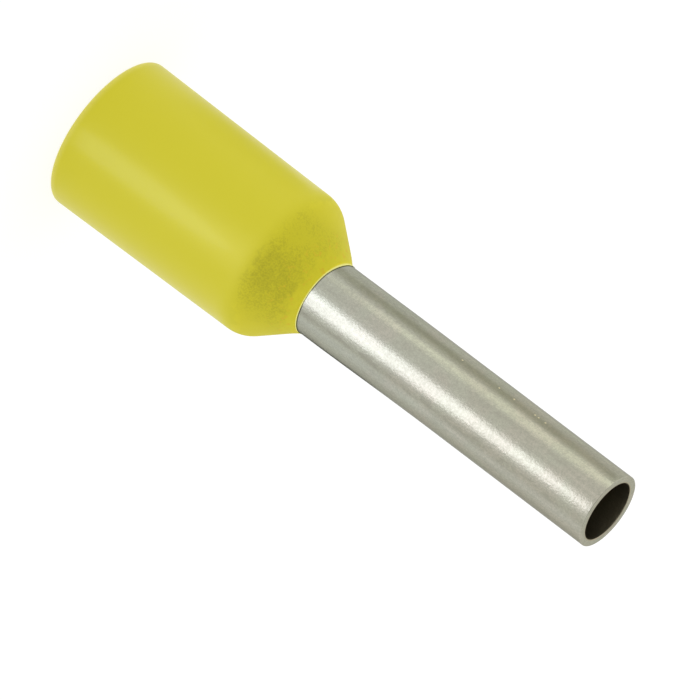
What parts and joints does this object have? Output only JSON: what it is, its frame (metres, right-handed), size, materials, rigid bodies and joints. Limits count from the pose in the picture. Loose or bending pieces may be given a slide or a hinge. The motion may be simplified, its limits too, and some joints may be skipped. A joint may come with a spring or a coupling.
{
  "type": "wire ferrule",
  "caption": "Thin plated copper sleeve, flared at one end and seated in a moulded plastic collar, which guides the stranded end of an insulated wire into the sleeve for crimping.",
  "frame": {"origin": "centre of the collar's mouth, on the plane of its rim", "axes": "+Z along the axis, from the collar's mouth to the sleeve's tip"},
  "size_m": [0.0036, 0.0036, 0.0143],
  "materials": {
    "moulded_plastic": "satin yellow moulded polypropylene with a fine grain",
    "tinned_copper": "satin tin plating over drawn copper, with faint lengthwise draw lines"
  },
  "bodies": {
    "root": {"collar": "moulded_plastic", "sleeve": "tinned_copper"}
  },
  "joints": []
}
